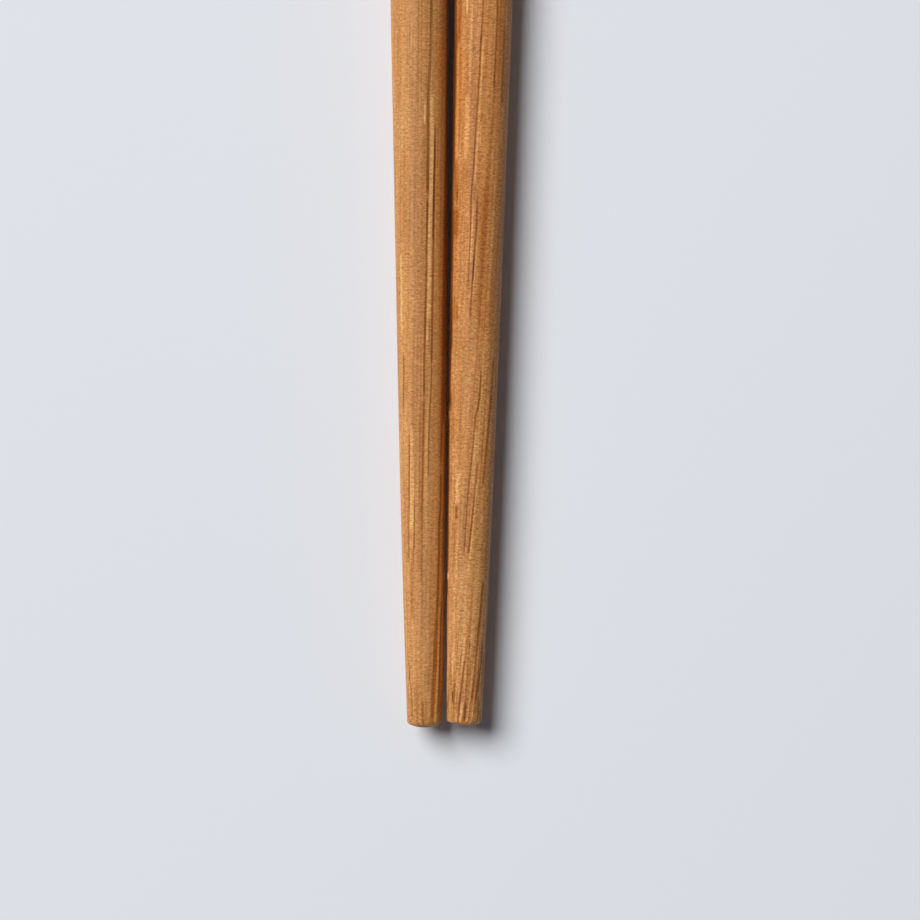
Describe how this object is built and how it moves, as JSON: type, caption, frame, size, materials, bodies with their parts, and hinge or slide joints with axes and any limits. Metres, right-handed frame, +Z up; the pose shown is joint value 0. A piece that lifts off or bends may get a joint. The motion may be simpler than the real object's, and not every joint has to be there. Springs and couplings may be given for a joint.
{
  "type": "pair of chopsticks",
  "caption": "Round bamboo chopsticks lying side by side with their blunt tips together: behind each tip a short nose swells into a long straight taper, which eases into a plain level handle.",
  "frame": {"origin": "on the surface that the pair lies on, midway between the sticks and midway along them", "axes": "+X from the left stick to the right one, +Y from the tips to the handle ends, +Z up"},
  "size_m": [0.0198, 0.2402, 0.0074],
  "materials": {
    "bamboo": "satin, carbonised bamboo with fine lengthwise fibres"
  },
  "bodies": {
    "root": {"left_chopstick": "bamboo", "right_chopstick": "bamboo"}
  },
  "joints": []
}
